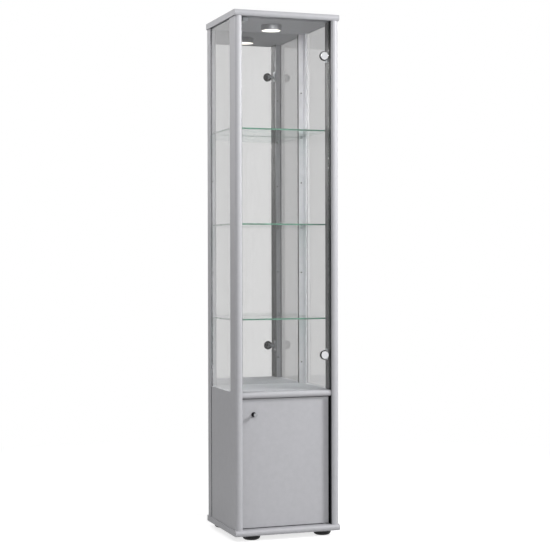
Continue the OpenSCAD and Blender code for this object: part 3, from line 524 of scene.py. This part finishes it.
DOOR_TINT = "#FBFBFB"
DISC_FACING = 0.95              # the disc ends where the cap's front starts to turn round

glass_sheet("glass_door_pane", 1, clear_glass("float glass of the door", DOOR_TINT), pane_edge)

# Chrome plate over polished metal: bright, with faint waves 3 mm long left by the polishing.
chrome, tree, shader = new_material("polished chrome plate", Metallic=1.0)
place = clouded(tree, shader, "#D8D9DB", "#E2E3E5", 3 * MM)
grained(tree, shader, place, 3 * MM, 0.004 * MM, 0.08, 0.16)


def plate_front(node, sides, front, facing):
    """Makes a turned CAD piece again, with one finish on its sides and one on its front."""
    shape = merged_copy(node)
    for face in shape.faces:
        face.material_index = 1 if face.normal.y < -facing else 0
    finish_piece(shape, node + "_plated", node, [sides, front])


plate_front("upper_hinge_cap", black_plastic, chrome, DISC_FACING)
plate_front("lower_hinge_cap", black_plastic, chrome, DISC_FACING)
finish_cad(black_plastic, "upper_hinge_cup", "lower_hinge_cup")
finish_cad(zinc, "upper_hinge_pin", "lower_hinge_pin", "upper_hinge_arm", "lower_hinge_arm")
finish_screws("hinge_screws")


# ---------------------------------------------------------------- door catches
# A touch catch under the top board and a magnetic catch under the middle board. Both are
# moulded plastic, held by screws, and each meets a zinc-plated steel strike on its door.

# Nylon moulded in white: even in colour, with a satin shine. The mould's grain is about
# 0.1 mm; drawn 1 mm so that it shows.
white_plastic, tree, shader = new_material("white moulded nylon", Specular_IOR_Level=0.5)
place = clouded(tree, shader, "#DEDEDA", "#E9E9E6", 4 * MM)
grained(tree, shader, place, 1 * MM, 0.02 * MM, 0.3, 0.4)

finish_cad(grey_plastic, "touch_catch_body")
finish_cad(white_plastic, "touch_catch_plunger", "magnet_catch_body")
finish_cad(zinc, "touch_catch_strike", "magnet_catch_strike")
finish_screws("catch_screws")


# ---------------------------------------------------------------- base door
# A 16 mm chipboard panel wrapped in foil. It turns on a steel pin at its top and bottom, each
# in a flanged nylon bush. A screw from behind holds its small, waisted, turned knob.

KNOB_LIT_FACING = 0.8               # the painted light on the knob's front reaches this far round its edge

# The knob's sides: nickel plate over turned steel, darkened to a smoky grey as painted shade and
# painted dark reflection, with a soft shine and the same turning marks.
shaded_nickel, tree, shader = new_material("nickel plate darkened as painted shade", Metallic=1.0)
place = clouded(tree, shader, "#37373A", "#424246", 3 * MM)
grained(tree, shader, place, 1.5 * MM, 0.006 * MM, 0.28, 0.4)

finish_piece(merged_copy("base_door_panel"), "base_door_panel_foiled", "base_door_panel",
             [silver_foil], EASED)
# The knob's sides take the darkened nickel as painted shade, its front the plain nickel as painted light.
plate_front("base_door_knob", shaded_nickel, nickel, KNOB_LIT_FACING)
finish_cad(zinc, "base_door_pivots")
finish_cad(white_plastic, "pivot_bushes")
finish_screws("knob_screw")


# ---------------------------------------------------------------- floor, light and camera
# A plain white studio. The key light stands at the front right, so the left sides are in
# shade; the white surroundings show in the mirror, the glass and the metal.

FLOOR_HALF = 60.0       # so far that the floor's edge never shows
FADE_START, FADE_END = 1.0, 2.5    # metres from the case where the lit floor turns to plain white
FLOOR_LIFT = 0.75       # brings the lit floor up to white where it is seen, and leaves its shadows
AMBIENT = 0.1           # the even light that the white room adds
AIM = Vector((0.0, 0.0, 0.9))
SOFTBOXES = (           # name, place, size in metres and power in watts
    ("key softbox", Vector((2.05, -1.6, 2.0)), 0.6, 72.0),
    ("front softbox", Vector((-0.2, -4.2, 2.3)), 1.6, 66.0),
    ("side softbox", Vector((-1.5, -0.3, 2.7)), 0.9, 19.0),
    ("back softbox", Vector((0.1, 3.6, 2.0)), 1.8, 40.0),
)
EYE = Vector((-1.5944, -4.5609, 0.9334))
YAW, PITCH, ROLL = radians(19.39), radians(-0.6), radians(-0.13)
LENS, SENSOR = 91.9, 36.0    # focal length, and width of the sensor, in millimetres

shape = bmesh.new()
bmesh.ops.create_grid(shape, x_segments=1, y_segments=1, size=FLOOR_HALF)
floor_mesh = bpy.data.meshes.new("studio_floor")
shape.to_mesh(floor_mesh)
shape.free()
floor = bpy.data.objects.new("studio_floor", floor_mesh)
bpy.context.scene.collection.objects.link(floor)
floor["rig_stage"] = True


def seen_directly(tree):
    """1 where the camera looks, also by way of a mirror or through glass, and otherwise 0."""
    path = add_node(tree, "ShaderNodeLightPath")
    seen = add_node(tree, "ShaderNodeMath", {"operation": "MAXIMUM"},
                    _0=path.outputs["Is Camera Ray"], _1=path.outputs["Is Glossy Ray"])
    seen = add_node(tree, "ShaderNodeMath", {"operation": "MAXIMUM"},
                    _0=seen.outputs[0], _1=path.outputs["Is Transmission Ray"])
    return seen.outputs[0]


# Matt white paper, lit near the case so that its shadow shows, and plain white further off.
floor_white = bpy.data.materials.new("white studio floor")
floor_white.use_nodes = True
tree = floor_white.node_tree
tree.nodes.clear()
seen = seen_directly(tree)
lift = add_node(tree, "ShaderNodeMath", {"operation": "MULTIPLY"}, _0=seen, _1=FLOOR_LIFT)
paper = add_node(tree, "ShaderNodeBsdfDiffuse", Color=linear("#C8C8C8"))
glow = add_node(tree, "ShaderNodeEmission", Color=linear("#FFFFFF"), Strength=lift.outputs[0])
lit = add_node(tree, "ShaderNodeAddShader", _0=paper.outputs[0], _1=glow.outputs[0])
place = add_node(tree, "ShaderNodeTexCoord").outputs["Object"]
away = add_node(tree, "ShaderNodeVectorMath", {"operation": "LENGTH"}, _0=place)
far = add_node(tree, "ShaderNodeMapRange", Value=away.outputs["Value"],
               From_Min=FADE_START, From_Max=FADE_END)
plain = add_node(tree, "ShaderNodeMath", {"operation": "MULTIPLY"}, _0=seen, _1=far.outputs["Result"])
white = add_node(tree, "ShaderNodeEmission", Color=linear("#FFFFFF"), Strength=1.0)
both = add_node(tree, "ShaderNodeMixShader", _0=plain.outputs[0], _1=lit.outputs[0], _2=white.outputs[0])
add_node(tree, "ShaderNodeOutputMaterial", Surface=both.outputs[0])
floor_mesh.materials.append(floor_white)

world = bpy.data.worlds.new("white studio")
bpy.context.scene.world = world
world.use_nodes = True
tree = world.node_tree
tree.nodes.clear()
seen = seen_directly(tree)
soft = add_node(tree, "ShaderNodeBackground", Color=linear("#FFFFFF"), Strength=AMBIENT)
white = add_node(tree, "ShaderNodeBackground", Color=linear("#FFFFFF"), Strength=1.0)
both = add_node(tree, "ShaderNodeMixShader", _0=seen, _1=soft.outputs[0], _2=white.outputs[0])
add_node(tree, "ShaderNodeOutputWorld", Surface=both.outputs[0])

for name, place, size, power in SOFTBOXES:
    light = bpy.data.lights.new(name, "AREA")
    light.size = size
    light.energy = power
    lamp = bpy.data.objects.new(name, light)
    lamp.location = place
    lamp.rotation_euler = (AIM - place).to_track_quat("-Z", "Y").to_euler()
    lamp.visible_camera = False
    bpy.context.scene.collection.objects.link(lamp)

lens = bpy.data.cameras.new("camera")
lens.sensor_width = SENSOR
lens.lens = LENS
camera = bpy.data.objects.new("camera", lens)
look = Vector((sin(YAW) * cos(PITCH), cos(YAW) * cos(PITCH), sin(PITCH)))
turn = look.to_track_quat("-Z", "Y").to_matrix() @ Matrix.Rotation(ROLL, 3, "Z")
camera.matrix_world = Matrix.Translation(EYE) @ turn.to_4x4()
bpy.context.scene.collection.objects.link(camera)
bpy.context.scene.camera = camera
bpy.context.scene.view_settings.view_transform = "Standard"

low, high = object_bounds()
